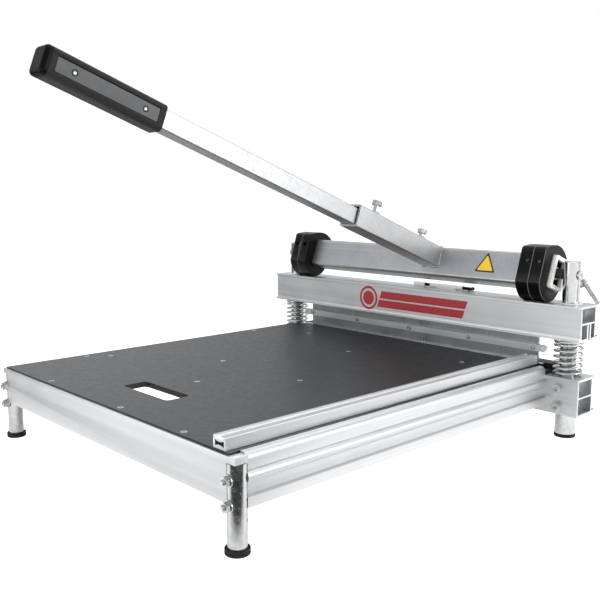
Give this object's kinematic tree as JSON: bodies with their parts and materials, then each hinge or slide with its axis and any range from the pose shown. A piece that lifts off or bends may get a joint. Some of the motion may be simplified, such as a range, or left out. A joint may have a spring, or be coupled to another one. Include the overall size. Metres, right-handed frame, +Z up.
{
  "type": "guillotine floor plank cutter",
  "caption": "Guillotine cutter for vinyl and laminate floor planks: board on a light-metal frame, blade beam on guide posts, cam shaft and long lever handle.",
  "frame": {"origin": "on the floor, under the middle of the bounding box of the machine at rest, blade down and handle at its lowest", "axes": "+Z up, +Y from the operator's end to the blade, +X to the operator's right, along the blade"},
  "size_m": [0.796, 0.8974, 0.6291],
  "materials": {
    "mill_aluminium": "satin",
    "zinc_steel": "satin",
    "bright_steel": "polished",
    "galvanised_tube": "satin",
    "blade_steel": "satin",
    "spring_steel": "satin",
    "screw_steel": "satin",
    "black_oxide_steel": "satin",
    "faced_board": "satin",
    "black_plastic": "satin",
    "white_plastic": "satin",
    "foot_rubber": "matte"
  },
  "bodies": {
    "base": {"front_leg_left": "zinc_steel", "front_leg_right": "zinc_steel", "front_feet": "foot_rubber", "rear_feet": "foot_rubber", "guide_post_left": "bright_steel", "guide_post_right": "bright_steel", "rear_leg_sleeve_left": "zinc_steel", "rear_leg_sleeve_right": "zinc_steel", "leg_studs": "screw_steel", "leg_nuts": "screw_steel", "leg_washers": "screw_steel", "front_apron": "mill_aluminium", "side_rail_left": "mill_aluminium", "side_rail_right": "mill_aluminium", "rail_end_screws": "screw_steel", "lower_beam": "mill_aluminium", "post_screws": "screw_steel", "work_board": "faced_board", "board_screws": "screw_steel", "board_bearers": "zinc_steel", "fence": "mill_aluminium", "fence_screws": "screw_steel", "cutting_bed": "black_plastic", "bed_screws": "screw_steel", "anvil_strip": "spring_steel", "anvil_screws": "screw_steel", "pivot_bolts": "screw_steel", "pivot_spacers": "black_plastic", "hook_screw": "screw_steel"},
    "blade_carriage": {"upper_beam": "mill_aluminium", "guide_bushes_left": "white_plastic", "guide_bushes_right": "white_plastic", "blade": "blade_steel", "blade_bolts": "screw_steel", "blade_stiffener": "mill_aluminium", "stiffener_screws": "screw_steel", "hex_key": "black_oxide_steel", "key_clips": "white_plastic", "return_spring_left": "spring_steel", "return_spring_right": "spring_steel"},
    "lever": {"cam_tube": "galvanised_tube", "cam_inner_left": "black_plastic", "cam_inner_right": "black_plastic", "cam_outer_left": "black_plastic", "cam_outer_right": "black_plastic", "cam_screws": "screw_steel", "tube_plug_left": "white_plastic", "tube_plug_right": "white_plastic", "handle_socket": "galvanised_tube", "clamp_bolts": "screw_steel", "clamp_nuts": "screw_steel"},
    "handle": {"handle_tube": "galvanised_tube", "grip_shell_left": "black_plastic", "grip_shell_right": "black_plastic", "grip_end_cap": "black_plastic", "grip_screws": "screw_steel"},
    "transport_hook": {"transport_hook": "screw_steel"}
  },
  "joints": [
    {"name": "handle_lift", "type": "hinge", "parent": "base", "child": "lever", "pos_m": [0, 0.4017, 0.296], "axis": [-1, 0, 0], "range_deg": [0, 60]},
    {"name": "blade_lift", "type": "slide", "parent": "base", "child": "blade_carriage", "axis": [0, 0, 1], "range_m": [0, 0.022], "stiffness_N_per_m": 4000, "springref_m": 0.035, "deforming": ["return_spring_left", "return_spring_right"]},
    {"name": "handle_extend", "type": "slide", "parent": "lever", "child": "handle", "axis": [0, -0.9397, 0.342], "range_m": [-0.1, 0.07]},
    {"name": "hook_swing", "type": "hinge", "parent": "base", "child": "transport_hook", "pos_m": [0.36, 0.4407, 0.2777], "axis": [0, 1, 0], "range_deg": [-90, 60]}
  ],
  "couplings": [
    {"joint": "blade_lift", "follows": "handle_lift", "m_per_rad": 0.021}
  ]
}
